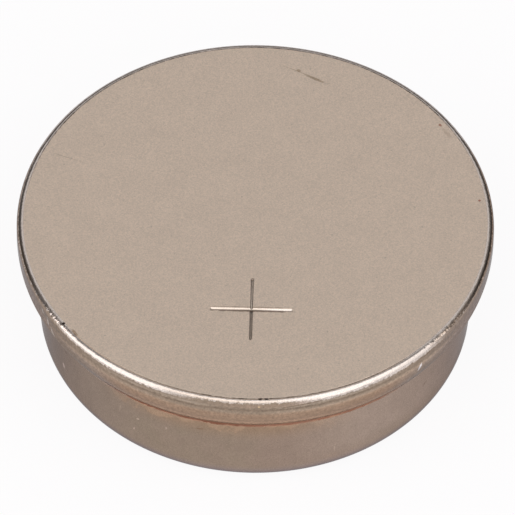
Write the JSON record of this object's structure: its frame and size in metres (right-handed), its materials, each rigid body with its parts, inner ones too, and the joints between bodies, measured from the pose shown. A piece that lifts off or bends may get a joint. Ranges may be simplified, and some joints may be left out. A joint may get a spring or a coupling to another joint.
{
  "type": "lithium coin cell",
  "caption": "Flat round lithium cell: a crimped positive lid whose rim overhangs a narrower deep-drawn negative cup, sealed by a gasket.",
  "frame": {"origin": "centre of the negative contact face, on the surface that the cell stands on", "axes": "+Z is the cell's axis and leaves through the positive face; X and Y lie in the negative face"},
  "size_m": [0.0244, 0.0244, 0.0077],
  "materials": {
    "lid_steel": "satin nickel-plated stainless sheet, lightly scuffed",
    "cup_steel": "satin drawn stainless sheet, fine speckles",
    "gasket_plastic": "matte moulded plastic with sealant",
    "inner_steel": "bare stainless",
    "cathode_mix": "dull pressed powder",
    "separator_cloth": "thin non-woven cloth",
    "lithium": "soft dull metal"
  },
  "bodies": {
    "root": {"positive_lid": "lid_steel", "negative_cup": "cup_steel", "gasket": "gasket_plastic", "collector_grid": "inner_steel", "cathode_ring": "inner_steel", "cathode_pellet": "cathode_mix", "separator": "separator_cloth", "lithium_disc": "lithium"}
  },
  "joints": []
}
